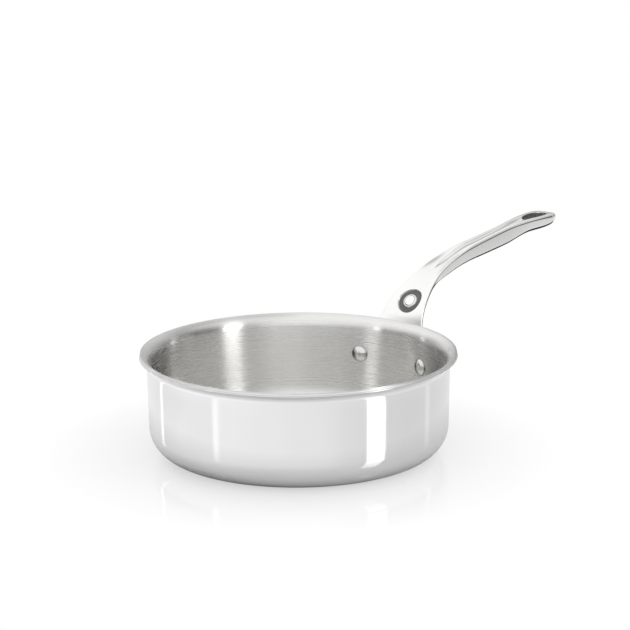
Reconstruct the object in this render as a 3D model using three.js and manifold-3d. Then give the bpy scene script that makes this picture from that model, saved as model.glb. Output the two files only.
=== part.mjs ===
// Saute pan: a drawn vessel of five bonded plies and a cast handle, held by two rivets.
// Millimetres, +Z up. The origin is the centre of the base, on the surface that the pan stands on.
// The handle reaches out along +X, and the pan is the same on both sides of the XZ plane.

import * as THREE from "three";
import { mergeVertices } from "three/addons/utils/BufferGeometryUtils.js";
import Module from "manifold-3d";

const wasm = await Module();
wasm.setup();

// Vessel: sizes of the outer face, angles in degrees
const PAN_HEIGHT = 79.2;
const WALL_RADIUS = 115.5; // at the top of the base corner
const WALL_LEAN = 1; // outward, from upright
const CORNER_RADIUS = 22.3;
const LIP_OVERHANG = 5.7; // how far the rim stands out past the wall
const LIP_ANGLE = 62; // lean of the lip at its edge, from upright

// Plies of the clad sheet, from the outside in
const STEEL_PLY = 0.5;
const BOND_PLY = 0.35;
const CORE_PLY = 1.3;
const PLY_GAP = 0.02; // left between two bonded faces

// Rivets
const RIVET_SPACING = 65;
const RIVET_DROP = 30; // axis below the top of the rim
const SHANK_RADIUS = 3;
const HOLE_CLEARANCE = 0.3; // round the shank
const HEAD_RADIUS = 6.7; // domed head inside the pan
const HEAD_HEIGHT = 3.3;
const TAIL_RADIUS = 6; // low head formed outside, on the handle
const TAIL_HEIGHT = 1.8;
const SEAT_GAP = 0.1; // under each head

// Handle: its spine is the middle of the top face, a chain of tangent arcs and straights
const HANDLE_GAP = 0.3; // between the saddle and the wall
const LIP_CLEARANCE = 0.5; // between the strap and the rim
const SADDLE_BELOW = 12; // saddle below the rivet axis
const SADDLE_MARGIN = 9.5; // saddle beside the rivet axis
const LIFT_RADIUS = 24; // where the strap leaves the wall
const RISE_ANGLE = 24; // lean of the strap as it passes the rim, from upright
const RISE_LENGTH = 15;
const NECK_RADIUS = 58;
const NECK_ANGLE = 53;
const SHOULDER_RADIUS = 100;
const SHOULDER_ANGLE = 72;
const GRIP_RADIUS = 220;
const GRIP_ANGLE = 82;
const GRIP_LENGTH = 42;
const END_RADIUS = 430;
const END_ANGLE = 91.3;

// Handle widths to one side of the spine
const RIM_WIDTH = 21.2;
const MEDALLION_WIDTH = 17.8;
const NECK_WIDTH = 11.6;
const GRIP_WIDTH = 6.9;
const END_WIDTH = 11.9;
const TIP_ROUND = 14; // length of the rounded tip
const EDGE_ROUND = 1.1;
const SIDE_TAPER = 0.06; // share of the width that the sides lose from top to bottom

// Handle depths at the side face
const STRAP_DEPTH = 3.4;
const SHOULDER_DEPTH = 8.1; // where the shoulder ends
const GRIP_DEPTH = 12.9;
const END_DEPTH = 9.7;
const TIP_DEPTH_SHARE = 0.2; // of the end depth, left at the tip
const BELLY = 1; // rounding of the underside of the grip

// Dished neck, trough along the top of the grip, and the hanging hole that it runs into
const DISH_DEPTH = 1.6; // from the edges of the neck to its middle
const TROUGH_DEPTH = 2.4; // below the ridges
const SCOOP_LENGTH = 28; // where the trough starts
const SCOOP_POINT = 0.2; // share of the full width that it starts with
const SCOOP_OPEN = 0.75; // share of the full width at the end of the scoop
const SCOOP_DIP = 0.8; // share of the full depth at the end of the scoop
const TROUGH_END_DEPTH = 1.2; // at the hole
const RIDGE_WIDTH = 4; // from the trough to the side
const RIDGE_RISE = 1.5; // of each ridge above the side edge
const HANG_LENGTH = 29;
const HANG_WIDTH = 13.6;
const HANG_WALL = 8.3; // from the hole to the tip

// Bare medallion: a round boss in a sunken ring
const MEDALLION_REACH = 16; // along the neck
const BOSS_RADIUS = 6.1;
const RING_RADIUS = 11.3;
const RING_DEPTH = 1.5;
const RING_BANK = 1.4; // width of the slope at its outer edge

// Facets
const TURN_STEPS = 40; // round the vessel
const CORNER_STEPS = 4;
const LIP_STEPS = 3;
const RIVET_STEPS = 16;
const DOME_STEPS = 4;
const STATION_STEP = 7; // along the handle
const ROUND_STEPS = 4; // along a rounded end of the handle
const HOLE_STEPS = 14; // along each half of the hanging hole
const FLAT_SHARE = 0.6; // share of the plain strap between its inner section points
const WELD = 1e-4; // joins points closer than this

const WALL = 2 * STEEL_PLY + 2 * BOND_PLY + CORE_PLY;
const rad = THREE.MathUtils.degToRad;
const lean = rad(WALL_LEAN);

// Vessel

const lipEnd = rad(LIP_ANGLE);
const lipRadius = LIP_OVERHANG / (Math.cos(lean) - Math.cos(lipEnd));
const cornerCentre = new THREE.Vector2(WALL_RADIUS - CORNER_RADIUS * Math.cos(lean), CORNER_RADIUS);
const lipCentre = new THREE.Vector2();
lipCentre.y = PAN_HEIGHT - (lipRadius + WALL) * Math.sin(lipEnd);
lipCentre.x = wallRadius(lipCentre.y + lipRadius * Math.sin(lean)) + lipRadius * Math.cos(lean);

// Outer radius of the plain wall at a height.
function wallRadius(z) {
  return WALL_RADIUS + (z - CORNER_RADIUS * (1 - Math.sin(lean))) * Math.tan(lean);
}

// The face at one depth below the outer face, from the middle of the base to the edge of the lip.
function facePoints(depth) {
  const points = [new THREE.Vector2(0, depth)];
  const corner = CORNER_RADIUS - depth;
  for (let i = 0; i <= CORNER_STEPS; i++) {
    const turn = ((Math.PI / 2 - lean) * i) / CORNER_STEPS;
    const x = cornerCentre.x + corner * Math.sin(turn);
    points.push(new THREE.Vector2(x, cornerCentre.y - corner * Math.cos(turn)));
  }
  for (let i = 0; i <= LIP_STEPS; i++) {
    const turn = lean + ((lipEnd - lean) * i) / LIP_STEPS;
    const x = lipCentre.x - (lipRadius + depth) * Math.cos(turn);
    points.push(new THREE.Vector2(x, lipCentre.y + (lipRadius + depth) * Math.sin(turn)));
  }
  return points;
}

// One ply between two depths, turned about the upright axis.
function plyGeometry(outerDepth, innerDepth) {
  const profile = [...facePoints(outerDepth), ...facePoints(innerDepth).reverse()];
  return new THREE.LatheGeometry(profile, TURN_STEPS).rotateX(Math.PI / 2);
}

// Solids

// Joins the shared corners of a closed geometry and hands it over as a solid.
function solidOf(geometry) {
  const bare = geometry.clone();
  bare.deleteAttribute("normal");
  bare.deleteAttribute("uv");
  const merged = mergeVertices(bare, WELD);
  const vertProperties = new Float32Array(merged.attributes.position.array);
  const triVerts = new Uint32Array(merged.index.array);
  return new wasm.Manifold(new wasm.Mesh({ numProp: 3, vertProperties, triVerts }));
}

function geometryOf(solid) {
  const mesh = solid.getMesh();
  const geometry = new THREE.BufferGeometry();
  geometry.setAttribute("position", new THREE.BufferAttribute(mesh.vertProperties, 3));
  geometry.setIndex(new THREE.BufferAttribute(mesh.triVerts, 1));
  return geometry;
}

function cut(geometry, cutters) {
  const solid = cutters.reduce((left, cutter) => left.subtract(solidOf(cutter)), solidOf(geometry));
  return geometryOf(solid);
}

// Rivets

const rivetHeight = PAN_HEIGHT - RIVET_DROP;
const rivetTurn = Math.asin(RIVET_SPACING / 2 / wallRadius(rivetHeight));

// Turns a shape about its Y axis onto a rivet axis: square to the wall, zero on its outer face.
function toRivetAxis(geometry, side) {
  geometry.rotateZ(-Math.PI / 2).rotateY(lean);
  geometry.translate(wallRadius(rivetHeight), 0, rivetHeight);
  return geometry.rotateZ(side * rivetTurn);
}

function rivetHoles() {
  const radius = SHANK_RADIUS + HOLE_CLEARANCE;
  const length = 2 * (WALL + HANDLE_GAP + STRAP_DEPTH + TAIL_HEIGHT);
  return [-1, 1].map((side) =>
    toRivetAxis(new THREE.CylinderGeometry(radius, radius, length, RIVET_STEPS), side),
  );
}

// A domed cap from its apex to its rim, on an axis that runs along Y.
function domePoints(radius, height, seat, away) {
  const sphere = (radius * radius + height * height) / (2 * height);
  const sweep = Math.asin(radius / sphere);
  const points = [];
  for (let i = 0; i <= DOME_STEPS; i++) {
    const turn = (sweep * i) / DOME_STEPS;
    const rise = sphere * Math.cos(turn) - (sphere - height);
    points.push(new THREE.Vector2(sphere * Math.sin(turn), seat + away * rise));
  }
  return points;
}

function rivetGeometry(side) {
  const innerRadius = wallRadius(rivetHeight) - WALL;
  const innerReach = Math.sqrt(innerRadius ** 2 - HEAD_RADIUS ** 2) * Math.cos(Math.PI / TURN_STEPS);
  const headSeat = innerReach - wallRadius(rivetHeight) - SEAT_GAP;
  const tailSeat = HANDLE_GAP + STRAP_DEPTH + SEAT_GAP;
  const profile = [
    ...domePoints(HEAD_RADIUS, HEAD_HEIGHT, headSeat, -1),
    new THREE.Vector2(SHANK_RADIUS, headSeat),
    new THREE.Vector2(SHANK_RADIUS, tailSeat),
    ...domePoints(TAIL_RADIUS, TAIL_HEIGHT, tailSeat, 1).reverse(),
  ];
  return toRivetAxis(new THREE.LatheGeometry(profile, RIVET_STEPS), side);
}

// Handle spine

// Lays the spine out as a chain of runs, each with its start, its lean from upright and its bend.
function spineRuns() {
  const rise = rad(RISE_ANGLE);
  const saddleFoot = rivetHeight - SADDLE_BELOW;
  const rimEdge = facePoints(0).at(-1);
  const foot = new THREE.Vector2(wallRadius(saddleFoot) + HANDLE_GAP / Math.cos(lean), saddleFoot);
  // The rise passes the rim at its clearance, and the lift rounds the corner between wall and rise.
  const pass = new THREE.Vector2(Math.cos(rise), -Math.sin(rise));
  pass.multiplyScalar(LIP_CLEARANCE).add(rimEdge);
  pass.sub(foot);
  const meet = (pass.y * Math.tan(rise) - pass.x) / (Math.tan(rise) - Math.tan(lean));
  const chain = [
    { length: meet / Math.cos(lean) - LIFT_RADIUS * Math.tan((rise - lean) / 2) },
    { radius: LIFT_RADIUS, to: rise },
    { length: RISE_LENGTH },
    { radius: NECK_RADIUS, to: rad(NECK_ANGLE) },
    { radius: SHOULDER_RADIUS, to: rad(SHOULDER_ANGLE) },
    { radius: GRIP_RADIUS, to: rad(GRIP_ANGLE) },
    { length: GRIP_LENGTH },
    { radius: END_RADIUS, to: rad(END_ANGLE) },
  ];
  const runs = [];
  let at = 0;
  let angle = lean;
  let place = foot;
  for (const { length, radius, to } of chain) {
    const run = { at, angle, place, bend: 0, length };
    if (radius) {
      run.bend = Math.sign(to - angle) / radius;
      run.length = Math.abs(to - angle) * radius;
    }
    runs.push(run);
    at += run.length;
    ({ angle, place } = alongRun(run, run.length));
  }
  return runs;
}

// Place and lean on one run, at a distance from its start.
function alongRun(run, distance) {
  const angle = run.angle + run.bend * distance;
  const step = new THREE.Vector2(Math.sin(angle), Math.cos(angle)).multiplyScalar(distance);
  if (run.bend) {
    step.set(Math.cos(run.angle) - Math.cos(angle), Math.sin(angle) - Math.sin(run.angle));
    step.divideScalar(run.bend);
  }
  return { angle, place: step.add(run.place) };
}

const runs = spineRuns();
const [saddle, , riseRun, neck, shoulder, grip, straight, end] = runs;
const spineLength = end.at + end.length;

function onSpine(station) {
  const run = runs.findLast((candidate) => candidate.at <= station) ?? saddle;
  return alongRun(run, station - run.at);
}

// Handle sections

const rivetStation = SADDLE_BELOW;
const rimStation = riseRun.at + riseRun.length;
const medallionStation = neck.at + MEDALLION_REACH;
const troughStation = grip.at - SCOOP_LENGTH / 2;
const scoopEnd = troughStation + SCOOP_LENGTH;
const tipStation = spineLength - TIP_ROUND;
const hangStation = spineLength - HANG_WALL - HANG_LENGTH;

// A smooth curve through keys of station and value, flat outside them and never past a key's value.
function through(keys) {
  const slopes = keys.map((key, i) => {
    if (i === 0 || i === keys.length - 1) return 0;
    const before = (key[1] - keys[i - 1][1]) / (key[0] - keys[i - 1][0]);
    const after = (keys[i + 1][1] - key[1]) / (keys[i + 1][0] - key[0]);
    return before * after > 0 ? (2 * before * after) / (before + after) : 0;
  });
  return (station) => {
    if (station <= keys[0][0]) return keys[0][1];
    const i = keys.findIndex((key) => key[0] >= station);
    if (i < 0) return keys.at(-1)[1];
    const span = keys[i][0] - keys[i - 1][0];
    const t = (station - keys[i - 1][0]) / span;
    const settle = t * t * (3 - 2 * t);
    const leave = t * (1 - t) * (1 - t) * span * slopes[i - 1];
    const arrive = t * t * (t - 1) * span * slopes[i];
    return keys[i - 1][1] + (keys[i][1] - keys[i - 1][1]) * settle + leave + arrive;
  };
}

const plainWidth = through([
  [rivetStation, RIVET_SPACING / 2 + SADDLE_MARGIN],
  [rimStation, RIM_WIDTH],
  [medallionStation, MEDALLION_WIDTH],
  [troughStation, NECK_WIDTH],
  [straight.at + straight.length, GRIP_WIDTH],
  [tipStation, END_WIDTH],
]);
const plainDepth = through([
  [shoulder.at, STRAP_DEPTH],
  [grip.at, SHOULDER_DEPTH],
  [end.at, GRIP_DEPTH],
  [hangStation, END_DEPTH],
]);
const saddleShare = through([
  [medallionStation, 1],
  [troughStation, 0],
]);
const dishDepth = through([
  [medallionStation, 0],
  [grip.at, DISH_DEPTH],
  [straight.at, 0],
]);
const bellyDepth = through([
  [shoulder.at, 0],
  [straight.at, BELLY],
]);
const troughDepth = through([
  [troughStation, 0],
  [scoopEnd, SCOOP_DIP * TROUGH_DEPTH],
  [straight.at, TROUGH_DEPTH],
  [hangStation, TROUGH_END_DEPTH],
]);
const ridgeRise = through([
  [troughStation, 0],
  [straight.at, RIDGE_RISE],
]);
// Share of its full width that the trough has opened to.
const troughShare = through([
  [rimStation, FLAT_SHARE],
  [troughStation, SCOOP_POINT],
  [scoopEnd, SCOOP_OPEN],
  [straight.at, 1],
]);

// How round the end is at a station: 1 on the full section, falling along a quarter circle.
function roundEnd(distance, length) {
  return distance >= length ? 1 : Math.sqrt(1 - (1 - distance / length) ** 2);
}

function halfWidth(station) {
  const corner = SADDLE_MARGIN * (roundEnd(station, SADDLE_MARGIN) - 1);
  return (plainWidth(station) + corner) * roundEnd(spineLength - station, TIP_ROUND);
}

function sideDepth(station) {
  const round = roundEnd(spineLength - station, TIP_ROUND);
  return plainDepth(station) * THREE.MathUtils.lerp(TIP_DEPTH_SHARE, 1, round);
}

// Height of the saddle above the spine, so that the strap hugs the round wall.
function saddleRise(station, across) {
  const radius = onSpine(station).place.x;
  return saddleShare(station) * (radius - Math.sqrt(radius ** 2 - across ** 2));
}

// Height of a shallow arch at a share of its half-width, from 1 in the middle to 0 at its foot.
function arch(share) {
  return 1 - share ** 2;
}

// One half of the section, from the middle of the top round to the middle of the underside.
function halfSection(station) {
  const width = halfWidth(station);
  const depth = sideDepth(station);
  const edge = Math.min(EDGE_ROUND, depth / 3, width / 3);
  const low = width * (1 - SIDE_TAPER);
  const top = width - edge;
  const trough = Math.max(top - RIDGE_WIDTH, top / 2) * troughShare(station);
  const soft = edge * (1 - Math.SQRT1_2);
  const ridge = ridgeRise(station);
  const brim = dishDepth(station) / 2;
  const points = [0, 1 / 3, 2 / 3, 1].map((share) => [
    share * trough,
    ridge - troughDepth(station) * arch(share),
  ]);
  points.push([(trough + top) / 2, arch(1 / 2) * ridge], [top, 0]);
  for (const point of points) point[1] += brim - 2 * brim * arch(point[0] / top);
  points.push([width - soft, brim - soft], [width, brim - edge]);
  points.push([low, edge - depth], [low - soft, soft - depth], [low - edge, -depth]);
  points.push([low / 2, -depth - bellyDepth(station) * arch(1 / 2)]);
  points.push([0, -depth - bellyDepth(station)]);
  return points;
}

// Carries a point of the straightened handle (along, across, up from the top face) to its real place.
function bend(along, across, up) {
  const { angle, place } = onSpine(along);
  const rise = up + saddleRise(along, across);
  return [place.x - rise * Math.cos(angle), across, place.y + rise * Math.sin(angle)];
}

function bendGeometry(geometry) {
  const position = geometry.attributes.position;
  for (let i = 0; i < position.count; i++) {
    position.setXYZ(i, ...bend(position.getX(i), position.getY(i), position.getZ(i)));
  }
  return geometry;
}

// Stations along the handle, close together where its outline turns.
function stations() {
  const list = [];
  for (let i = 0; i < ROUND_STEPS; i++) {
    list.push(SADDLE_MARGIN * (1 - Math.cos((i / ROUND_STEPS) * (Math.PI / 2))));
  }
  const count = Math.round((tipStation - SADDLE_MARGIN) / STATION_STEP);
  for (let i = 0; i < count; i++) {
    list.push(THREE.MathUtils.lerp(SADDLE_MARGIN, tipStation, i / count));
  }
  // The last ring stands half a step short of the tip, where it would have no width left.
  for (let i = 0; i <= ROUND_STEPS; i++) {
    list.push(tipStation + TIP_ROUND * Math.sin((i / (ROUND_STEPS + 1 / 2)) * (Math.PI / 2)));
  }
  return list;
}

// Skins a row of closed rings and caps both ends.
function loft(rings) {
  const count = rings[0].length;
  const positions = rings.flat(2);
  const index = [];
  for (let i = 0; i + 1 < rings.length; i++) {
    for (let j = 0; j < count; j++) {
      const a = i * count + j;
      const b = i * count + ((j + 1) % count);
      index.push(a, a + count, b, b, a + count, b + count);
    }
  }
  const last = (rings.length - 1) * count;
  for (let j = 1; j + 1 < count; j++) {
    index.push(0, j, j + 1);
    index.push(last, last + j + 1, last + j);
  }
  const geometry = new THREE.BufferGeometry();
  geometry.setAttribute("position", new THREE.Float32BufferAttribute(positions, 3));
  geometry.setIndex(index);
  return geometry;
}

function handleBody() {
  const rings = stations().map((station) => {
    const half = halfSection(station);
    const other = half.slice(1, -1).reverse();
    const ring = [...half, ...other.map(([across, up]) => [-across, up])];
    return ring.map(([across, up]) => bend(station, across, up));
  });
  return loft(rings);
}

// The oval hanging hole, right through the end.
function hangingHole() {
  const outline = new THREE.Shape();
  outline.absellipse(HANG_LENGTH / 2, 0, HANG_LENGTH / 2, HANG_WIDTH / 2, 0, 2 * Math.PI);
  const depth = 3 * GRIP_DEPTH; // well past both faces
  const options = { depth, bevelEnabled: false, curveSegments: HOLE_STEPS };
  const hole = new THREE.ExtrudeGeometry(outline, options);
  return bendGeometry(hole.translate(hangStation, 0, -depth / 2));
}

// The sunken ring round the bare boss, with a slope at its outer edge.
function medallionRing() {
  const profile = [
    new THREE.Vector2(BOSS_RADIUS, RING_DEPTH),
    new THREE.Vector2(BOSS_RADIUS, -RING_DEPTH),
    new THREE.Vector2(RING_RADIUS - RING_BANK, -RING_DEPTH),
    new THREE.Vector2(RING_RADIUS, 0),
    new THREE.Vector2(RING_RADIUS, RING_DEPTH),
    new THREE.Vector2(BOSS_RADIUS, RING_DEPTH),
  ];
  const ring = new THREE.LatheGeometry(profile, TURN_STEPS / 2).rotateX(Math.PI / 2);
  return bendGeometry(ring.translate(medallionStation, 0, 0));
}

// The pan

const STEEL = { color: 0xd2d2d0, metalness: 1 };
const FINISHES = {
  polished: new THREE.MeshStandardMaterial({ ...STEEL, roughness: 0.08 }),
  brushed: new THREE.MeshStandardMaterial({ ...STEEL, roughness: 0.35 }),
  cast: new THREE.MeshStandardMaterial({ ...STEEL, roughness: 0.12 }),
  bond: new THREE.MeshStandardMaterial({ color: 0xb4b7ba, metalness: 1, roughness: 0.5 }),
  core: new THREE.MeshStandardMaterial({ color: 0xc3c5c8, metalness: 1, roughness: 0.45 }),
};

const PLIES = [
  { name: "outer_steel_ply", thickness: STEEL_PLY, finish: "polished" },
  { name: "outer_bond_ply", thickness: BOND_PLY, finish: "bond" },
  { name: "aluminium_core", thickness: CORE_PLY, finish: "core" },
  { name: "inner_bond_ply", thickness: BOND_PLY, finish: "bond" },
  { name: "inner_steel_ply", thickness: STEEL_PLY, finish: "brushed" },
];

const pan = new THREE.Group();

function addPiece(name, geometry, finish) {
  const mesh = new THREE.Mesh(geometry, FINISHES[finish].clone());
  mesh.name = name;
  pan.add(mesh);
}

let depth = 0;
for (const { name, thickness, finish } of PLIES) {
  const outerDepth = depth === 0 ? 0 : depth + PLY_GAP;
  depth += thickness;
  addPiece(name, cut(plyGeometry(outerDepth, depth), rivetHoles()), finish);
}
addPiece("handle", cut(handleBody(), [...rivetHoles(), hangingHole(), medallionRing()]), "cast");
addPiece("rivet_right", rivetGeometry(-1), "polished");
addPiece("rivet_left", rivetGeometry(1), "polished");

export default pan;
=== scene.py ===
"""Saute pan: finely meshed pieces, metal finishes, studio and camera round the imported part."""

import math

import bmesh
import bpy
from mathutils import Matrix, Vector


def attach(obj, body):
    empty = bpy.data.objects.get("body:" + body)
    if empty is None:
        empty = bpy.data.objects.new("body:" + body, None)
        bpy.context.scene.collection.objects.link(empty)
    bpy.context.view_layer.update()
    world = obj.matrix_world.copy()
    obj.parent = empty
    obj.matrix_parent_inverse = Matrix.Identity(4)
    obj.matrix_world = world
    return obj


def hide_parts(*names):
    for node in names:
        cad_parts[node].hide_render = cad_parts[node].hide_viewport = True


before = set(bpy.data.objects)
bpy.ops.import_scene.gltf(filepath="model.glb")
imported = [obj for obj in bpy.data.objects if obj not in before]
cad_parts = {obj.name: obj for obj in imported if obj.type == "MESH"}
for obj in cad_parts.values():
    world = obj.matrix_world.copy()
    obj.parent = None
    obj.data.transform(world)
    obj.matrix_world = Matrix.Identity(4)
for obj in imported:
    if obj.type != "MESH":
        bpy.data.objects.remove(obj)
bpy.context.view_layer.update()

MM = 0.001  # in metres
QUARTER_TURN = math.pi / 2
WELD = 1e-4  # points closer than this, in millimetres, are one

# Sizes of the vessel and the rivets, in millimetres

PAN_HEIGHT = 79.2
WALL_RADIUS = 115.5  # at the top of the base corner
WALL_LEAN = math.radians(1)  # outward, from upright
CORNER_RADIUS = 22.3
LIP_OVERHANG = 5.7  # how far the rim stands out past the wall
LIP_ANGLE = math.radians(78)  # lean of the lip at its edge, from upright

STEEL_PLY = 0.5
BOND_PLY = 0.35
CORE_PLY = 1.3
PLY_GAP = 0.02  # left between two bonded faces
WALL = 2 * STEEL_PLY + 2 * BOND_PLY + CORE_PLY

RIVET_SPACING = 65
RIVET_DROP = 30  # axis below the top of the rim
HEAD_RADIUS = 6.7  # domed head inside the pan
HEAD_HEIGHT = 3.3
TAIL_RADIUS = 6  # low head outside, on the handle
TAIL_HEIGHT = 1.8
SHANK_RADIUS = 3
FOOT_HEIGHT = 0.4  # narrower foot under each head
FOOT_INSET = 0.4

# Sizes of the handle, in millimetres

HANDLE_GAP = 0.3  # between the saddle and the wall
LIP_CLEARANCE = 0.5  # between the strap and the rim
SADDLE_BELOW = 12  # saddle below the rivets' axis
SADDLE_MARGIN = 9.5  # saddle beside it
LIFT_RADIUS = 24  # where the strap leaves the wall
RISE_ANGLE = math.radians(24)  # lean of the strap as it passes the rim, from upright
RISE_LENGTH = 15
NECK_BEND = (58, math.radians(53))  # radius, and lean at the end of the bend
SHOULDER_BEND = (100, math.radians(72))
GRIP_BEND = (220, math.radians(82))
GRIP_LENGTH = 42
END_BEND = (430, math.radians(91.3))

RIM_WIDTH = 21.2  # this and the next four are half widths
MEDALLION_WIDTH = 17.8
NECK_WIDTH = 11.6
GRIP_WIDTH = 6.9
END_WIDTH = 11.9
TIP_ROUND = 14  # length of the rounded tip
EDGE_ROUND = 1.1
SOLE_ROUND = 3  # lower edges of the grip
END_ROUND = 5  # lower edges of the rounded end
TIP_EDGE = 2  # upper edges of the rounded end
SIDE_TAPER = 0.06  # share of the width that the sides lose from top to bottom

STRAP_DEPTH = 3.4
SHOULDER_DEPTH = 8.1  # where the shoulder ends
GRIP_DEPTH = 12.9
END_DEPTH = 9.7
TIP_DEPTH_SHARE = 0.2  # of the end depth, left at the tip
SOLE_RISE = 26  # length over which the underside curves up to the tip
TIP_FALL = 1.2  # how far the top curves down to the tip
BELLY = 1  # rounding of the underside of the grip

DISH_DEPTH = 2.8  # from the edges of the neck to its middle
BRIM_SHARE = 0.29  # share of the dish that stands above the spine
TROUGH_DEPTH = 2.4  # below the ridges
TROUGH_END_DEPTH = 1.2  # at the hole
SCOOP_LENGTH = 28  # where the trough starts
SCOOP_POINT = 0.2  # share of the full width that it starts with
SCOOP_OPEN = 0.75  # share of the full width at the end of the scoop
SCOOP_DIP = 0.8  # share of the full depth there
RIDGE_WIDTH = 4  # from the trough to the side
RIDGE_RISE = 1.1  # of each ridge above the side's edge
RIDGE_POWER = 3  # how squarely a ridge turns into the side, 2 for a plain round
SHOULDER_WIDTH = 2.2  # rounding of a ridge beyond the plain edge
CREST_ROUND = 0.3  # rounding of the crest between a ridge and the trough

HANG_LENGTH = 29
HANG_WIDTH = 13.6
HANG_WALL = 8.3  # from the hole to the tip
HANG_ROUND = 0.8  # rounding of the edges of the hole
HANG_BUNCHING = 1.7  # how closely the columns of a section bunch towards the hole
HOLE_SHADE = 0.65  # strength of the painted shade in the hole

MEDALLION_REACH = 16  # along the neck
RING_RADIUS = 11.3  # sunken ring round the boss
RING_DEPTH = 1.5
RING_BANK = 1.4  # width of the slope at its outer edge
BOSS_RADIUS = 6.1
BOSS_EDGE = 0.45
BOSS_CROWN = 0.35
BEAD_RADIUS = 4.7  # fine line turned into the boss
BEAD_WIDTH = 0.6
BEAD_DEPTH = 0.3
BEAD_SHADE = 0.7  # strength of the painted shade in the fine line

# Fineness of the meshes

TURN_STEPS = 224  # round the vessel
CORNER_STEPS = 18
WALL_STEPS = 6
LIP_STEPS = 14
RIVET_STEPS = 56  # round a rivet
DOME_STEPS = 12
STATION_STEP = 0.9  # in millimetres, along the handle
RING_STEP = 0.26  # in millimetres, along the medallion
END_STEPS = 16  # along a rounded end of the handle
HOLE_STEPS = 56  # along the hole
HOLE_EDGE_STEPS = 8
HOLE_WALL_STEPS = 6
TOP_COLUMNS = 46  # across half of the handle's top
LOW_COLUMNS = 16  # across half of its underside
ARC_STEPS = 14  # round an edge

# Meshes

# Point attribute for painted shade: how dark each point of the handle is painted, in its recesses
RECESS_SHADE_LAYER = "painted_recess_shade"


def add_mesh(name, points, faces, marks=None):
    """A smooth mesh from points in millimetres; marks say how much painted shade each point takes."""
    mesh = bpy.data.meshes.new(name)
    mesh.from_pydata([Vector(point) * MM for point in points], [], faces)
    if marks:
        mesh.attributes.new(RECESS_SHADE_LAYER, "FLOAT", "POINT").data.foreach_set("value", marks)
    weld(mesh)
    mesh.shade_smooth()
    piece = bpy.data.objects.new(name, mesh)
    bpy.context.collection.objects.link(piece)
    return piece


def weld(mesh):
    """Joins the points that meet, drops those that no face uses and turns every face outward."""
    edit = bmesh.new()
    edit.from_mesh(mesh)
    bmesh.ops.remove_doubles(edit, verts=edit.verts, dist=WELD * MM)
    loose = [point for point in edit.verts if not point.link_faces]
    bmesh.ops.delete(edit, geom=loose, context="VERTS")
    bmesh.ops.recalc_face_normals(edit, faces=edit.faces)
    edit.to_mesh(mesh)
    edit.free()


def lathe(name, profile, steps):
    """Turns a closed profile of (radius, height) about the upright axis."""
    points = []
    faces = []
    for i in range(steps):
        turn = 2 * math.pi * i / steps
        points += [(r * math.cos(turn), r * math.sin(turn), z) for r, z in profile]
    count = len(profile)
    for i in range(steps):
        here = i * count
        after = ((i + 1) % steps) * count
        for j in range(count):
            k = (j + 1) % count
            faces.append((here + j, after + j, after + k, here + k))
    return add_mesh(name, points, faces)


def dress(piece, node, slot):
    """Puts a piece in place of a CAD node and in its material slot."""
    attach(piece, "root")
    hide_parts(node)
    piece.data.materials.append(FINISHES[slot])


def shares(count):
    """Evenly spaced shares from 0 to 1."""
    return [i / count for i in range(count + 1)]


def between(first, second, share):
    """A point on the way from one point to another."""
    return tuple(a + (b - a) * share for a, b in zip(first, second))


# Vessel


def wall_radius(z):
    """Outer radius of the plain wall at a height."""
    above_corner = z - CORNER_RADIUS * (1 - math.sin(WALL_LEAN))
    return WALL_RADIUS + above_corner * math.tan(WALL_LEAN)


CORNER_CENTRE = (WALL_RADIUS - CORNER_RADIUS * math.cos(WALL_LEAN), CORNER_RADIUS)
LIP_RADIUS = LIP_OVERHANG / (math.cos(WALL_LEAN) - math.cos(LIP_ANGLE))
LIP_HEIGHT = PAN_HEIGHT - (LIP_RADIUS + WALL) * math.sin(LIP_ANGLE)
LIP_FOOT = wall_radius(LIP_HEIGHT + LIP_RADIUS * math.sin(WALL_LEAN))
LIP_CENTRE = (LIP_FOOT + LIP_RADIUS * math.cos(WALL_LEAN), LIP_HEIGHT)


def face_points(depth):
    """The face at one depth below the outer face, from the middle of the base to the lip's edge."""
    corner_x, corner_z = CORNER_CENTRE
    lip_x, lip_z = LIP_CENTRE
    corner = CORNER_RADIUS - depth
    lip = LIP_RADIUS + depth
    points = [(0, depth), (corner_x / 2, depth)]
    for share in shares(CORNER_STEPS):
        turn = (QUARTER_TURN - WALL_LEAN) * share
        points.append((corner_x + corner * math.sin(turn), corner_z - corner * math.cos(turn)))
    arc = []
    for share in shares(LIP_STEPS):
        turn = WALL_LEAN + (LIP_ANGLE - WALL_LEAN) * share
        arc.append((lip_x - lip * math.cos(turn), lip_z + lip * math.sin(turn)))
    foot = points[-1]
    points += [between(foot, arc[0], share) for share in shares(WALL_STEPS)[1:-1]]
    return points + arc


PLIES = [
    ("outer_steel", "outer_steel_ply", STEEL_PLY, "polished_steel"),
    ("outer_bond", "outer_bond_ply", BOND_PLY, "bond_alloy"),
    ("core", "aluminium_core", CORE_PLY, "core_aluminium"),
    ("inner_bond", "inner_bond_ply", BOND_PLY, "bond_alloy"),
    ("inner_steel", "inner_steel_ply", STEEL_PLY, "brushed_inside"),
]


def add_vessel():
    """The plies of the clad sheet, from the outside in."""
    depth = 0
    for name, node, thickness, slot in PLIES:
        outer_depth = depth + PLY_GAP if depth else 0
        depth += thickness
        profile = face_points(outer_depth) + face_points(depth)[::-1]
        dress(lathe(name, profile, TURN_STEPS), node, slot)


# Rivets

RIVET_HEIGHT = PAN_HEIGHT - RIVET_DROP
RIVET_WALL = wall_radius(RIVET_HEIGHT)
RIVET_TURN = math.asin(RIVET_SPACING / 2 / RIVET_WALL)


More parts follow.
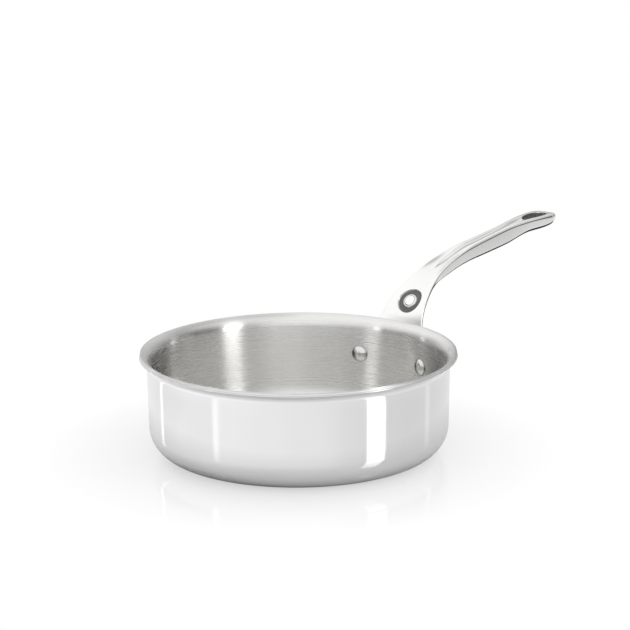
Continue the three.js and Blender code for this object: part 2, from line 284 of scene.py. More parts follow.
def dome_points(radius, height, seat, away):
    """A domed cap from its apex to its rim, on a narrower foot that leaves a fine gap round it."""
    rim = seat + away * FOOT_HEIGHT
    rise = height - FOOT_HEIGHT
    sphere = (radius**2 + rise**2) / (2 * rise)
    sweep = math.asin(radius / sphere)
    points = []
    for share in shares(DOME_STEPS):
        turn = sweep * share
        up = sphere * math.cos(turn) - sphere + rise
        points.append((sphere * math.sin(turn), rim + away * up))
    foot = radius - FOOT_INSET
    return points + [(foot, rim), (foot, seat)]


def add_rivet(side, name, node):
    """A rivet through the wall and the saddle, with its domed head inside the pan."""
    head_seat = math.sqrt((RIVET_WALL - WALL) ** 2 - HEAD_RADIUS**2) - RIVET_WALL
    tail_seat = HANDLE_GAP + STRAP_DEPTH
    profile = dome_points(HEAD_RADIUS, HEAD_HEIGHT, head_seat, -1)
    profile += [(SHANK_RADIUS, head_seat), (SHANK_RADIUS, tail_seat)]
    profile += dome_points(TAIL_RADIUS, TAIL_HEIGHT, tail_seat, 1)[::-1]
    rivet = lathe(name, profile, RIVET_STEPS)
    square_to_wall = Matrix.Rotation(QUARTER_TURN + WALL_LEAN, 4, "Y")
    out_to_wall = Matrix.Translation(Vector((RIVET_WALL, 0, RIVET_HEIGHT)) * MM)
    round_wall = Matrix.Rotation(side * RIVET_TURN, 4, "Z")
    rivet.data.transform(round_wall @ out_to_wall @ square_to_wall)
    dress(rivet, node, "rivet_steel")


# Handle spine: a chain of tangent runs with a start, a lean from upright and a bend


def along_run(run, distance):
    """Lean and place on one run, at a distance from its start."""
    lean = run["lean"] + run["bend"] * distance
    x, z = run["place"]
    if run["bend"]:
        dx = (math.cos(run["lean"]) - math.cos(lean)) / run["bend"]
        dz = (math.sin(lean) - math.sin(run["lean"])) / run["bend"]
    else:
        dx = math.sin(lean) * distance
        dz = math.cos(lean) * distance
    return lean, (x + dx, z + dz)


def saddle_length(foot):
    """How far the spine follows the wall, so that the strap then clears the rim."""
    rim_x, rim_z = face_points(0)[-1]
    pass_x = rim_x + LIP_CLEARANCE * math.cos(RISE_ANGLE) - foot[0]
    pass_z = rim_z - LIP_CLEARANCE * math.sin(RISE_ANGLE) - foot[1]
    meet = (pass_z * math.tan(RISE_ANGLE) - pass_x) / (math.tan(RISE_ANGLE) - math.tan(WALL_LEAN))
    return meet / math.cos(WALL_LEAN) - LIFT_RADIUS * math.tan((RISE_ANGLE - WALL_LEAN) / 2)


def spine_runs():
    """The runs of the spine, from the foot of the saddle to the tip."""
    foot_z = RIVET_HEIGHT - SADDLE_BELOW
    foot = (wall_radius(foot_z) + HANDLE_GAP / math.cos(WALL_LEAN), foot_z)
    lift = (LIFT_RADIUS, RISE_ANGLE)
    chain = [saddle_length(foot), lift, RISE_LENGTH, NECK_BEND, SHOULDER_BEND]
    chain += [GRIP_BEND, GRIP_LENGTH, END_BEND]
    runs = []
    start = 0
    lean = WALL_LEAN
    place = foot
    for item in chain:
        run = {"at": start, "lean": lean, "place": place, "bend": 0, "length": item}
        if isinstance(item, tuple):
            radius, end_lean = item
            run["bend"] = 1 / radius
            run["length"] = (end_lean - lean) * radius
        runs.append(run)
        start += run["length"]
        lean, place = along_run(run, run["length"])
    return runs


RUNS = spine_runs()
NECK, SHOULDER, GRIP, STRAIGHT, END = [run["at"] for run in RUNS[3:]]  # stations where they start
SPINE_LENGTH = END + RUNS[-1]["length"]
MEDALLION = NECK + MEDALLION_REACH
TROUGH = GRIP - SCOOP_LENGTH / 2
SCOOP_END = TROUGH + SCOOP_LENGTH
HANG_END = SPINE_LENGTH - HANG_WALL
HANG_START = HANG_END - HANG_LENGTH
TIP = SPINE_LENGTH - TIP_ROUND


def on_spine(station):
    """Lean and place of the spine at a station."""
    run = [run for run in RUNS if run["at"] <= station][-1]
    return along_run(run, station - run["at"])


# Handle sections: sizes that change along the spine


def through(*keys):
    """A smooth curve through keys of (station, value), flat outside them."""
    slopes = [0]
    for before, key, after in zip(keys, keys[1:], keys[2:]):
        first = (key[1] - before[1]) / (key[0] - before[0])
        second = (after[1] - key[1]) / (after[0] - key[0])
        slopes.append(2 * first * second / (first + second) if first * second > 0 else 0)
    slopes.append(0)

    def value(station):
        if station <= keys[0][0]:
            return keys[0][1]
        for i in range(1, len(keys)):
            if station <= keys[i][0]:
                span = keys[i][0] - keys[i - 1][0]
                t = (station - keys[i - 1][0]) / span
                settle = t * t * (3 - 2 * t)
                leave = t * (1 - t) * (1 - t) * span * slopes[i - 1]
                arrive = t * t * (t - 1) * span * slopes[i]
                return keys[i - 1][1] + (keys[i][1] - keys[i - 1][1]) * settle + leave + arrive
        return keys[-1][1]

    return value


plain_width = through(
    (SADDLE_BELOW, RIVET_SPACING / 2 + SADDLE_MARGIN),
    (NECK, RIM_WIDTH),
    (MEDALLION, MEDALLION_WIDTH),
    (TROUGH, NECK_WIDTH),
    (END, GRIP_WIDTH),
    (TIP, END_WIDTH),
)
plain_depth = through(
    (SHOULDER, STRAP_DEPTH),
    (GRIP, SHOULDER_DEPTH),
    (END, GRIP_DEPTH),
    (HANG_START, END_DEPTH),
)
trough_depth = through(
    (TROUGH, 0),
    (SCOOP_END, SCOOP_DIP * TROUGH_DEPTH),
    (STRAIGHT, TROUGH_DEPTH),
    (HANG_START, TROUGH_END_DEPTH),
    (HANG_END, 0),
)
trough_share = through((TROUGH, SCOOP_POINT), (SCOOP_END, SCOOP_OPEN), (STRAIGHT, 1))
ridge_rise = through((TROUGH, 0), (STRAIGHT, RIDGE_RISE))
dish_depth = through((MEDALLION, 0), (GRIP, DISH_DEPTH), (STRAIGHT, 0))
belly_depth = through((SHOULDER, 0), (STRAIGHT, BELLY))
saddle_share = through((MEDALLION, 1), (TROUGH, 0))
edge_round = through((HANG_START, EDGE_ROUND), (HANG_END, TIP_EDGE))
sole_round = through((SHOULDER, EDGE_ROUND), (STRAIGHT, SOLE_ROUND), (HANG_END, END_ROUND))
column_power = through((END, 1), (HANG_START, HANG_BUNCHING))


def round_end(distance, length):
    """A round outline: 0 at the very end, 1 from a length on."""
    return 1 if distance >= length else math.sqrt(max(0, 1 - (1 - distance / length) ** 2))


def tip_share(station):
    """1 along the handle, falling to 0 over its rounded tip."""
    return round_end(SPINE_LENGTH - station, TIP_ROUND)


def half_width(station):
    """Half the width of the section, with rounded corners at the foot of the saddle."""
    corner = SADDLE_MARGIN * (round_end(station, SADDLE_MARGIN) - 1)
    return (plain_width(station) + corner) * tip_share(station)


def side_depth(station):
    """Depth of the sides, with the underside curving up to the tip."""
    rise = round_end(SPINE_LENGTH - station, SOLE_RISE)
    return plain_depth(station) * (TIP_DEPTH_SHARE + (1 - TIP_DEPTH_SHARE) * rise)


def crest_rise(station):
    """How far a ridge stands above the side's edge."""
    return ridge_rise(station) * tip_share(station)


def arch(share):
    """1 in the middle, 0 at the edge."""
    return 1 - share**2


# Medallion


def ease(low, high, value):
    """0 below low, 1 above high, smooth between."""
    t = min(1, max(0, (value - low) / (high - low)))
    return t * t * (3 - 2 * t)


def from_medallion(station, across):
    """Distance from the middle of the medallion."""
    return math.hypot(station - MEDALLION, across)


def ring_share(radius):
    """1 on the floor of the sunken ring, 0 outside it and on the boss."""
    wall = ease(BOSS_RADIUS - BOSS_EDGE, BOSS_RADIUS + BOSS_EDGE, radius)
    return wall * (1 - ease(RING_RADIUS - RING_BANK, RING_RADIUS, radius))


def bead_share(radius):
    """1 in the middle of the fine line turned into the boss, 0 beside it."""
    return max(0, arch((radius - BEAD_RADIUS) / BEAD_WIDTH)) ** 2


def medallion_height(radius):
    """The sunken ring, and in it the boss, crowned and with its turned line."""
    ring = -RING_DEPTH * ring_share(radius)
    if radius > BOSS_RADIUS:
        return ring
    return ring - BOSS_CROWN * (radius / BOSS_RADIUS) ** 2 - BEAD_DEPTH * bead_share(radius)


# Hanging hole


def in_hole(station, across):
    """Place in the hole's oval, along and across, as shares of its half sizes."""
    return (station - HANG_START) / (HANG_LENGTH / 2) - 1, across / (HANG_WIDTH / 2)


def hole_half(station):
    """Half the width of the hole, 0 beyond its ends."""
    along = in_hole(station, 0)[0]
    return HANG_WIDTH / 2 * math.sqrt(max(0, arch(along)))


def hole_drop(station, across):
    """How far the rounded edge of the hole falls away from a face, beside the hole."""
    along, aside = in_hole(station, across)
    reach = math.hypot(along, aside)
    if reach <= 1:
        return HANG_ROUND
    steepness = math.hypot(along / (HANG_LENGTH / 2), aside / (HANG_WIDTH / 2)) / reach
    inside = max(0, HANG_ROUND - (reach - 1) / steepness)
    return HANG_ROUND - math.sqrt(HANG_ROUND**2 - inside**2)


def hole_wall(half):
    """The hole's wall on one side, from the end of a half section up to its start."""
    return [between(half[-1], half[0], share) for share in shares(HOLE_WALL_STEPS)[1:-1]]


# Handle


def lower_of(first, second, blend):
    """The lower of two heights, with the corner between them rounded."""
    overlap = max(0, 1 - abs(first - second) / blend) if blend > 0 else 0
    return min(first, second) - blend * overlap**2 / 4


def top_height(station, across, width):
    """Height of the top face above the spine, from the middle to the crests of the ridges."""
    top = width - EDGE_ROUND
    trough = max(top - RIDGE_WIDTH, top / 2) * trough_share(station)
    depth = trough_depth(station)
    ridge = crest_rise(station)
    slope = ridge - depth * arch(across / trough)
    plain = lower_of(slope, ridge, CREST_ROUND * min(1, depth))
    dish = dish_depth(station) * (BRIM_SHARE - arch(across / width))
    fall = TIP_FALL * (1 - tip_share(station))
    return plain + dish + medallion_height(from_medallion(station, across)) - fall


def recess_shade_mark(station, across):
    """How much painted shade a point takes: in the medallion's ring and line, and in the hole."""
    radius = from_medallion(station, across)
    hole = HOLE_SHADE * hole_drop(station, across) / HANG_ROUND
    return max(hole, ring_share(radius), BEAD_SHADE * bead_share(radius))


def half_section(station):
    """One half of the section: from the middle or the hole on top, round to the same underneath."""
    width = half_width(station)
    depth = side_depth(station)
    ridge = crest_rise(station)
    ridge_share = ridge / RIDGE_RISE
    # No rounding takes up more than part of the section
    edge = min(edge_round(station), depth / 3, width / 3)
    shoulder = min(edge + SHOULDER_WIDTH * ridge_share, width / 2)
    power = 2 + (RIDGE_POWER - 2) * ridge_share
    sole = min(sole_round(station), depth / 2, width / 2)
    top = width - shoulder
    low = width * (1 - SIDE_TAPER) - sole
    inner = hole_half(station)
    bunching = column_power(station)
    points = []
    # Top face
    for share in shares(TOP_COLUMNS):
        across = inner + (top - inner) * share**bunching
        points.append((across, top_height(station, across, width) - hole_drop(station, across)))
    # Shoulder of the ridge
    for share in shares(ARC_STEPS)[1:]:
        turn = QUARTER_TURN * share
        fall = 1 - max(0, math.cos(turn)) ** (2 / power)
        across = top + shoulder * math.sin(turn) ** (2 / power)
        points.append((across, top_height(station, across, width) - (ridge + edge) * fall))
    # Side and lower edge
    for share in shares(ARC_STEPS):
        turn = QUARTER_TURN * share
        points.append((low + sole * math.cos(turn), sole * (1 - math.sin(turn)) - depth))
    # Underside
    for share in shares(LOW_COLUMNS)[1:]:
        across = inner + (low - inner) * (1 - share) ** bunching
        belly = belly_depth(station) * arch(across / low)
        points.append((across, hole_drop(station, across) - depth - belly))
    return points


def bend(along, across, up):
    """Carries a point of the straightened handle to its real place."""
    lean, (x, z) = on_spine(along)
    rise = up + saddle_share(along) * (x - math.sqrt(x**2 - across**2))
    return (x - rise * math.cos(lean), across, z + rise * math.sin(lean))


def evenly(start, end, step):
    """Stations from start up to, and without, end."""
    return [start + (end - start) * share for share in shares(max(1, round((end - start) / step)))[:-1]]


def stations():
    """Stations along the handle, closer at its ends, its medallion and its hole."""
    ring_start = MEDALLION - RING_RADIUS - RING_STEP
    ring_end = MEDALLION + RING_RADIUS + RING_STEP
    turns = [QUARTER_TURN * share for share in shares(END_STEPS)[:-1]]
    edge_turns = [QUARTER_TURN * share for share in shares(HOLE_EDGE_STEPS)[1:]]
    edges = [HANG_ROUND * (1 - math.cos(turn)) for turn in edge_turns]
    found = [SADDLE_MARGIN * (1 - math.cos(turn)) for turn in turns]
    found += evenly(SADDLE_MARGIN, ring_start, STATION_STEP)
    found += evenly(ring_start, ring_end, RING_STEP)
    found += evenly(ring_end, HANG_START - HANG_ROUND, STATION_STEP)
    found += [HANG_START - edge for edge in reversed(edges)]
    found += [HANG_START + HANG_LENGTH * (1 - math.cos(math.pi * share)) / 2 for share in shares(HOLE_STEPS)]
    found += [HANG_END + edge for edge in edges]
    # The tip's stations bunch up where its outline turns in, and stop just short of its point.
    tip_start = found[-1]
    reach = SPINE_LENGTH - tip_start
    return found + [tip_start + reach * math.sin(turn) for turn in turns[1:]]


def add_handle():
    """The cast handle: two mirrored halves of sections, joined along the middle and round the hole."""
    places = stations()
    halves = [half_section(station) for station in places]
    outline = len(halves[0])
    count = outline + HOLE_WALL_STEPS - 1
    points = []
    marks = []
    faces = []
    ends = []
    for side in (1, -1):
        start = len(points)
        for station, half in zip(places, halves):
            points += [bend(station, side * across, up) for across, up in half + hole_wall(half)]
            # How much painted shade each point takes; the hole's wall takes the hole's strength
            marks += [recess_shade_mark(station, across) for across, up in half]
            marks += [HOLE_SHADE] * (count - outline)
        for i in range(len(places) - 1):
            at_hole = places[i] > HANG_START - WELD and places[i + 1] < HANG_END + WELD
            for j in range(count if at_hole else outline - 1):
                a = start + i * count + j
                b = start + i * count + (j + 1) % count
                faces.append((a, a + count, b + count, b))
        last = len(points) - count
        ends.append([list(range(first, first + outline)) for first in (start, last)])
    for right, left in zip(*ends):
        faces.append(tuple(right + left[::-1]))
    handle = add_mesh("cast_handle", points, faces, marks)
    dress(handle, "handle", "cast_steel")


# Materials


class Nodes:
    """Builds one node tree with short calls."""

    def __init__(self, owner):
        owner.use_nodes = True
        self.tree = owner.node_tree
        self.tree.nodes.clear()

    def add(self, kind, settings=None, **inputs):
        node = self.tree.nodes.new(kind)
        for name, value in (settings or {}).items():
            setattr(node, name, value)
        for name, value in inputs.items():
            self.set(node.inputs[name], value)
        return node

    def set(self, socket, value):
        if isinstance(value, bpy.types.NodeSocket):
            self.tree.links.new(value, socket)
        else:
            socket.default_value = value

    def fill(self, node, *values):
        """Sets a node's first inputs in order, and gives its first output."""
        for socket, value in zip(node.inputs, values):
            self.set(socket, value)
        return node.outputs[0]

    def math(self, operation, *values):
        return self.fill(self.add("ShaderNodeMath", {"operation": operation}), *values)

    def span(self, value, low, high, to_low, to_high):
        """Carries a value from one range to another, and holds it at the ends."""
        return self.fill(self.add("ShaderNodeMapRange"), value, low, high, to_low, to_high)

    def mix(self, factor, first, second):
        """One shader fading into another."""
        return self.fill(self.add("ShaderNodeMixShader"), factor, first, second)

    def blend(self, factor, first, second):
        """One colour fading into another."""
        node = self.add("ShaderNodeMix", {"data_type": "RGBA"})
        for place, value in ((0, factor), (6, first), (7, second)):  # its sockets for colours
            self.set(node.inputs[place], value)
        return node.outputs[2]

    def tint(self, factor, dark, light):
        """A colour between two, by a factor."""
        ramp = self.add("ShaderNodeValToRGB", Fac=factor)
        ramp.color_ramp.elements[0].color = (*dark, 1)
        ramp.color_ramp.elements[1].color = (*light, 1)
        return ramp.outputs[0]

    def noise(self, vector, scale, detail=3.0):
        return self.add("ShaderNodeTexNoise", Vector=vector, Scale=scale, Detail=detail).outputs["Fac"]

    def bump(self, height, distance):
        return self.add("ShaderNodeBump", Height=height, Distance=distance, Strength=1.0).outputs[0]

    def place(self):
        """Position on the object, in metres."""
        return self.add("ShaderNodeTexCoord").outputs["Object"]

    def split(self, vector):
        return self.add("ShaderNodeSeparateXYZ", Vector=vector).outputs

    def length(self, x, y):
        return self.math("SQRT", self.math("ADD", self.math("MULTIPLY", x, x), self.math("MULTIPLY", y, y)))

    def stretched(self, vector, factors):
        return self.fill(self.add("ShaderNodeVectorMath", {"operation": "MULTIPLY"}), vector, factors)

    def turned(self, factors):
        """Turn in radians, radius and height in metres about the upright axis, each times a factor."""
        x, y, z = self.split(self.place())
        turned = self.add("ShaderNodeCombineXYZ", X=self.math("ARCTAN2", y, x), Y=self.length(x, y), Z=z)
        return self.stretched(turned.outputs[0], factors)

    def end(self, kind, surface):
        """Ends the tree: a material's or a world's surface."""
        self.add(kind, Surface=surface)


def new_material(name):
    material = bpy.data.materials.new(name)
    return material, Nodes(material)


# Finishes of the part: colours dark and light, scales per metre, depths in metres

NOISE_SPREAD = (0.3, 0.7)  # where most values of a noise lie

POLISH_COLOURS = ((0.81, 0.81, 0.815), (0.85, 0.85, 0.855))
POLISH_ROUGHNESS = (0.05, 0.12)
SMEAR_SCALE = 28.0
SMEAR_DETAIL = 4.0
SMEAR_SPREAD = (0.3, 0.75)
HAIRLINE_SCALE = 900.0
HAIRLINE_STRETCH = (2.0, 1.0, 6.0)
HAIRLINE_DEPTH = 2e-6

BRUSHED_COLOURS = ((0.74, 0.735, 0.72), (0.77, 0.765, 0.75))
BRUSHED_ROUGHNESS = (0.25, 0.29)
BRUSH_STRETCH = (0.0012, 0.0012, 1)  # draws the brush lines out round the axis
BRUSH_SCALE = 1200.0
BRUSH_DETAIL = 1.0
BRUSH_DEPTH = 1e-7
BRUSH_TURN = 0.25  # a quarter turn, so that light spreads across the lines
BAND_SCALE = 400.0
BAND_DETAIL = 2.0

CAST_COLOURS = ((0.8, 0.8, 0.79), (0.86, 0.86, 0.85))
CAST_ROUGHNESS = (0.12, 0.2)
# Painted shade in the medallion's ring and line and in the hole
RECESS_SHADE_COLOURS = ((0.1, 0.1, 0.097), (0.19, 0.19, 0.185))
RECESS_ROUGHNESS = 0.3  # added where the recesses carry painted shade
WAVE_SCALE = 60.0
WAVE_DETAIL = 2.0
GRAIN_SCALE = 1400.0
GRAIN_SHARE = 0.05  # of the height of the waves
CAST_DEPTH = 3e-5

RIVET_COLOURS = ((0.6, 0.6, 0.59), (0.7, 0.7, 0.69))
RIVET_ROUGHNESS = (0.1, 0.2)
PRESS_SCALE = 500.0
PRESS_DEPTH = 2e-5

BOND_COLOURS = ((0.62, 0.62, 0.62), (0.72, 0.72, 0.72))
CORE_COLOURS = ((0.74, 0.74, 0.74), (0.84, 0.84, 0.84))
CUT_ROUGHNESS = (0.3, 0.45)
CUT_SCALE = 3000.0
CUT_STRETCH = (0.01, 1.0, 1.0)
CUT_DEPTH = 1e-5


def metal(nodes, colour, roughness, bump):
    """Ends a metal's node tree, and gives its shader."""
    shader = nodes.add("ShaderNodeBsdfPrincipled", Metallic=1.0, Roughness=roughness, Normal=bump)
    nodes.set(shader.inputs["Base Color"], colour)
    nodes.end("ShaderNodeOutputMaterial", shader.outputs[0])
    return shader


def polished_steel():
    """Mirror polish with faint smears and hairline marks round the wall."""
    material, nodes = new_material("polished_steel")
    hairlines = nodes.noise(nodes.turned(HAIRLINE_STRETCH), HAIRLINE_SCALE)
    smears = nodes.noise(nodes.place(), SMEAR_SCALE, SMEAR_DETAIL)
    colour = nodes.tint(smears, *POLISH_COLOURS)
    roughness = nodes.span(smears, *SMEAR_SPREAD, *POLISH_ROUGHNESS)
    metal(nodes, colour, roughness, nodes.bump(hairlines, HAIRLINE_DEPTH))
    return material


def brushed_inside():
    """Brushed round the axis: fine lines that spread light up and down the wall."""
    material, nodes = new_material("brushed_inside")
    drawn_out = nodes.stretched(nodes.place(), BRUSH_STRETCH)
    lines = nodes.noise(drawn_out, BRUSH_SCALE, BRUSH_DETAIL)
    bands = nodes.noise(drawn_out, BAND_SCALE, BAND_DETAIL)
    colour = nodes.tint(lines, *BRUSHED_COLOURS)
    roughness = nodes.span(bands, *NOISE_SPREAD, *BRUSHED_ROUGHNESS)
    shader = metal(nodes, colour, roughness, nodes.bump(lines, BRUSH_DEPTH))
    tangent = nodes.add("ShaderNodeTangent", {"direction_type": "RADIAL", "axis": "Z"})
    nodes.set(shader.inputs["Tangent"], tangent.outputs[0])
    shader.inputs["Anisotropic"].default_value = 1.0
    shader.inputs["Anisotropic Rotation"].default_value = BRUSH_TURN
    return material


def cast_steel():
    """Investment-cast steel, tumbled and polished; the ring, turned line and hole carry painted shade, dark
    and rougher.
    """
    material, nodes = new_material("cast_steel")
    waves = nodes.noise(nodes.place(), WAVE_SCALE, WAVE_DETAIL)
    grain = nodes.noise(nodes.place(), GRAIN_SCALE)
    # Painted shade: the ring, the turned line and the hole turn dark by the attribute
    recess_shade = nodes.add("ShaderNodeAttribute", {"attribute_name": RECESS_SHADE_LAYER}).outputs["Fac"]
    colour = nodes.blend(recess_shade, nodes.tint(waves, *CAST_COLOURS), nodes.tint(grain, *RECESS_SHADE_COLOURS))
    polished = nodes.span(grain, *NOISE_SPREAD, *CAST_ROUGHNESS)
    roughness = nodes.math("ADD", polished, nodes.math("MULTIPLY", recess_shade, RECESS_ROUGHNESS))
    height = nodes.math("ADD", waves, nodes.math("MULTIPLY", grain, GRAIN_SHARE))
    metal(nodes, colour, roughness, nodes.bump(height, CAST_DEPTH))
    return material


def rivet_steel():
    """Polished heads with the small marks of the press."""
    material, nodes = new_material("rivet_steel")
    marks = nodes.noise(nodes.place(), PRESS_SCALE)
    roughness = nodes.span(marks, *NOISE_SPREAD, *RIVET_ROUGHNESS)
    metal(nodes, nodes.tint(marks, *RIVET_COLOURS), roughness, nodes.bump(marks, PRESS_DEPTH))
    return material


def cut_edge(name, colours):
    """A sheet's trimmed edge, turned on a lathe."""
    material, nodes = new_material(name)
    lines = nodes.noise(nodes.turned(CUT_STRETCH), CUT_SCALE)
    roughness = nodes.span(lines, *NOISE_SPREAD, *CUT_ROUGHNESS)
    metal(nodes, nodes.tint(lines, *colours), roughness, nodes.bump(lines, CUT_DEPTH))
    return material


FINISHES = {
    "polished_steel": polished_steel(),
    "brushed_inside": brushed_inside(),
    "bond_alloy": cut_edge("bond_alloy", BOND_COLOURS),
    "core_aluminium": cut_edge("core_aluminium", CORE_COLOURS),
    "cast_steel": cast_steel(),
    "rivet_steel": rivet_steel(),
}

# Camera

PICTURE = 630  # pixels each way
FOCAL_PIXELS = 2500
SENSOR = 36  # in millimetres
CAMERA_DISTANCE = 1918  # in millimetres, from the middle of the rim
CAMERA_TURN = math.radians(-47.63)
CAMERA_RISE = math.radians(14.78)
CAMERA_ROLL = math.radians(-0.47)
RIM_PIXEL = (297.83, 349.97)  # where the middle of the rim stands in the picture


def level_out(turn):
    """A level direction from the axis, turned from straight ahead of the pan."""
    return Vector((math.sin(turn), -math.cos(turn), 0))


def add_camera():
    """The photograph's camera."""
    data = bpy.data.cameras.new("camera")
    data.sensor_width = SENSOR
    data.lens = FOCAL_PIXELS / PICTURE * SENSOR
    middle = (PICTURE - 1) / 2
    data.shift_x = (middle - RIM_PIXEL[0]) / PICTURE
    data.shift_y = (RIM_PIXEL[1] - middle) / PICTURE
    back = level_out(CAMERA_TURN) * math.cos(CAMERA_RISE) + Vector((0, 0, math.sin(CAMERA_RISE)))
    look = (-back).to_track_quat("-Z", "Y").to_matrix() @ Matrix.Rotation(CAMERA_ROLL, 3, "Z")
    camera = bpy.data.objects.new("camera", data)
    camera.rotation_mode = "QUATERNION"
    camera.rotation_quaternion = look.to_quaternion()
    camera.location = (Vector((0, 0, PAN_HEIGHT)) + back * CAMERA_DISTANCE) * MM
    bpy.context.collection.objects.link(camera)
    bpy.context.scene.camera = camera


# Studio: its brightness goes by the angle from the camera, in degrees, left positive

WHITE = (1, 1, 1, 1)


def leftward(nodes, vector):
    """How far left of the camera a direction from the axis points, in radians."""
    turned = nodes.add("ShaderNodeVectorRotate", {"rotation_type": "Z_AXIS"}, Vector=vector)
    turned.inputs["Angle"].default_value = -CAMERA_TURN
    x, y = nodes.split(turned.outputs[0])[:2]
    return nodes.math("ARCTAN2", nodes.math("MULTIPLY", x, -1.0), nodes.math("MULTIPLY", y, -1.0))


def by_angle(nodes, angle, keys):
    """A brightness that changes with the angle round the pan."""
    ramp = nodes.add("ShaderNodeValToRGB", Fac=nodes.span(angle, -math.pi, math.pi, 0.0, 1.0))
    elements = ramp.color_ramp.elements
    while len(elements) > 1:
        elements.remove(elements[-1])
    for i, (degrees, value) in enumerate(keys):
        place = (degrees + 180) / 360
        element = elements.new(place) if i else elements[0]
        element.position = place
        element.color = (value, value, value, 1)
    return ramp.outputs[0]


def level_sheet(name, near, far, height, material):
    """A level rectangle between two corners, in millimetres."""
    corners = [near, (far[0], near[1]), far, (near[0], far[1])]
    sheet = add_mesh(name, [(x, y, height) for x, y in corners], [(0, 1, 2, 3)])
    sheet.data.materials.append(material)
    return sheet


# Table

FLOOR_HALF = 4000  # half its side, in millimetres
FLOOR_HEIGHT = -0.2
TABLE_COLOUR = (0.88, 0.88, 0.88, 1)
TABLE_MIRRORED_SHADE = (0.6, 0.6, 0.6, 1)  # painted shade: the table close to the pan, as the steel mirrors it, darker than its own colour
TABLE_WHITE = 0.75  # share of plain white in what the camera sees close to the pan
TABLE_ROUGHNESS = 0.05
TABLE_IOR = 1.6
FLOOR_LIGHT = (  # painted light: the table as the steel mirrors it away from the pan, brighter to the left
    (-180, 0.95),
    (-60, 0.96),
    (0, 0.94),
    (40, 1.08),
    (75, 1.14),
    (110, 1.02),
    (180, 0.95),
)
# Distances from the axis, in metres, between which the table turns
FLOOR_SHADE = (0.1, 0.2)  # to plain white, as the camera sees it
FLOOR_GLOW = (0.11, 0.21)  # to the painted light, as the steel mirrors it
UNDER_BASE = (0.086, 0.093)  # from a glow that only the flat base mirrors
UNDER_GLOW = 0.45  # strength of that glow, so that the base isn't black when seen from below


def table_material():
    """Glossy white table with the pan's shadow and mirror image close to it, plain white further off; the
    steel mirrors it with painted shade close to the pan and painted light further off.
    """
    material, nodes = new_material("white_table")
    path = nodes.add("ShaderNodeLightPath").outputs
    seen = path["Is Camera Ray"]
    mirrored = path["Is Glossy Ray"]
    radius = nodes.length(*nodes.split(nodes.place())[:2])
    far = nodes.span(radius, *FLOOR_SHADE, 0.0, 1.0)
    around = nodes.span(radius, *FLOOR_GLOW, 0.0, 1.0)
    under = nodes.span(radius, *UNDER_BASE, UNDER_GLOW, 0.0)
    seen_white = nodes.math("MULTIPLY", seen, nodes.span(far, 0.0, 1.0, TABLE_WHITE, 1.0))
    mirrored_white = nodes.math("MULTIPLY", mirrored, nodes.math("MAXIMUM", around, under))
    # Painted shade: close to the pan the steel mirrors the darker table colour
    board = nodes.add("ShaderNodeBsdfDiffuse", Color=nodes.blend(mirrored, TABLE_COLOUR, TABLE_MIRRORED_SHADE))
    # Painted light: further off the steel mirrors a glowing table, brighter to the left; the camera sees it
    # plain white
    light = by_angle(nodes, leftward(nodes, nodes.place()), FLOOR_LIGHT)
    white = nodes.add("ShaderNodeEmission", Color=nodes.blend(seen, light, WHITE))
    matt = nodes.mix(nodes.math("MAXIMUM", seen_white, mirrored_white), board.outputs[0], white.outputs[0])
    gloss = nodes.add("ShaderNodeBsdfGlossy", Roughness=TABLE_ROUGHNESS)
    fresnel = nodes.add("ShaderNodeFresnel", IOR=TABLE_IOR).outputs[0]
    glossy_near = nodes.math("SUBTRACT", 1.0, nodes.math("MULTIPLY", seen, far))
    table = nodes.mix(nodes.math("MULTIPLY", fresnel, glossy_near), matt, gloss.outputs[0])
    clear = nodes.add("ShaderNodeBsdfTransparent")
    from_below = nodes.add("ShaderNodeNewGeometry").outputs["Backfacing"]
    nodes.end("ShaderNodeOutputMaterial", nodes.mix(from_below, table, clear.outputs[0]))
    return material


def add_floor():
    """The table under the pan."""
    corner = (-FLOOR_HALF, -FLOOR_HALF)
    floor = level_sheet("floor", corner, (FLOOR_HALF, FLOOR_HALF), FLOOR_HEIGHT, table_material())


# Black card on the table behind the handle, out of the camera's sight, which only the steel's reflections
# see: a painted reflection that draws a dark line along the handle's lower edge

CARD_NEAR = (320, -80)  # in millimetres
CARD_FAR = (640, 220)
CARD_HEIGHT = 1
CARD_COLOUR = (0.015, 0.015, 0.015, 1)


def add_card():
    material, nodes = new_material("black_card")
    nodes.end("ShaderNodeOutputMaterial", nodes.add("ShaderNodeBsdfDiffuse", Color=CARD_COLOUR).outputs[0])
    card = level_sheet("card", CARD_NEAR, CARD_FAR, CARD_HEIGHT, material)
    # Painted reflection: hidden from the camera, from diffuse light and from shadows
    card.visible_camera = False
    card.visible_diffuse = False
    card.visible_shadow = False


# World

WALLS = (
    (-180, 0.5),
    (-160, 0.6),
    (-125, 0.25),
    (-118, 0.2),
    (-117, 1.2),
    (-113, 1.2),
    (-112, 0.1),
    (-95, 0.08),
    (-70, 0.15),
    (-50, 0.5),
    (-34, 0.6),
    (-28, 0.95),
    (-18, 1.15),
    (18, 1.15),
    (40, 0.8),
    (63, 0.6),
    (64, 2.6),
    (68, 2.6),
    (69, 0.1),
    (95, 0.05),
    (125, 0.3),
    (145, 0.8),
    (160, 0.8),
    (180, 0.5),
)
CEILING = (
    (-180, 1.1),
    (-172, 0.95),
    (-160, 0.78),
    (-135, 0.68),
    (-110, 0.35),
    (-90, 0.12),
    (-60, 0.3),
    (-34, 0.75),
    (-10, 1.15),
    (120, 1.2),
    (180, 1.1),
)
ZENITH = (
    (-180, 1.1),
    (-172, 0.95),
    (-160, 0.62),
    (-135, 0.5),
    (-115, 0.95),
    (-10, 1.15),
    (120, 1.2),
    (180, 1.1),
)
WALL_TOP = (0.2, 0.45)  # height of a direction where the walls give way to the ceiling
CEILING_TOP = (0.5, 0.7)  # and where the ceiling gives way to the light overhead
FILL = (1.05, 1.05, 1.05, 1)  # light that the studio throws on the table


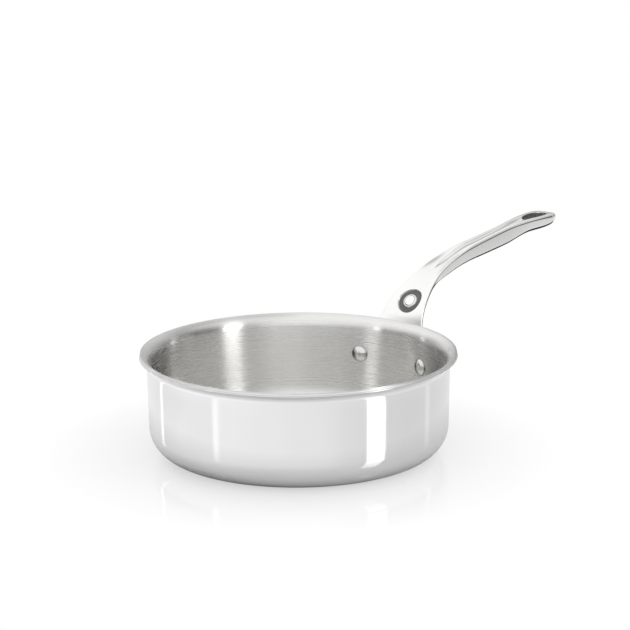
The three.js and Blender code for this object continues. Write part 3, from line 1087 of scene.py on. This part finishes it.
def add_world():
    """A studio with a ceiling and walls whose brightness changes round the pan."""
    world = bpy.data.worlds.new("studio")
    bpy.context.scene.world = world
    nodes = Nodes(world)
    direction = nodes.add("ShaderNodeTexCoord").outputs["Generated"]
    left = leftward(nodes, direction)
    z = nodes.split(direction)["Z"]
    above = nodes.span(z, *WALL_TOP, 0.0, 1.0)
    overhead = nodes.span(z, *CEILING_TOP, 0.0, 1.0)
    sides = nodes.blend(above, by_angle(nodes, left, WALLS), by_angle(nodes, left, CEILING))
    room = nodes.blend(overhead, sides, by_angle(nodes, left, ZENITH))
    path = nodes.add("ShaderNodeLightPath").outputs
    lit = nodes.blend(path["Is Glossy Ray"], FILL, room)
    background = nodes.add("ShaderNodeBackground", Color=nodes.blend(path["Is Camera Ray"], lit, WHITE))
    nodes.end("ShaderNodeOutputWorld", background.outputs[0])


# Strip lamps out of view, in metres from the axis and above the table

STRIPS = {
    "right_strip": dict(left=-57.4, distance=1.0, width=0.26, low=0.06, high=0.74, brightness=5.0),
    "back_left_strip": dict(left=121, distance=0.85, width=0.05, low=0.02, high=0.3, brightness=2.4),
}


def add_strip(name, left, distance, width, low, high, brightness):
    """An upright strip lamp that faces the pan, at an angle left of the camera."""
    data = bpy.data.lights.new(name, "AREA")
    data.shape = "RECTANGLE"
    data.size = width
    data.size_y = high - low
    data.energy = brightness * math.pi * width * (high - low)
    out = level_out(CAMERA_TURN - math.radians(left))
    lamp = bpy.data.objects.new(name, data)
    lamp.location = out * distance + Vector((0, 0, (low + high) / 2))
    lamp.rotation_mode = "QUATERNION"
    lamp.rotation_quaternion = (-out).to_track_quat("-Z", "Y")
    lamp.visible_camera = False
    bpy.context.collection.objects.link(lamp)


# The scene

bpy.context.scene.view_settings.view_transform = "Standard"
add_vessel()
add_rivet(-1, "right_rivet", "rivet_right")
add_rivet(1, "left_rivet", "rivet_left")
add_handle()
add_floor()
add_card()
add_world()
for strip, facts in STRIPS.items():
    add_strip(strip, **facts)
add_camera()
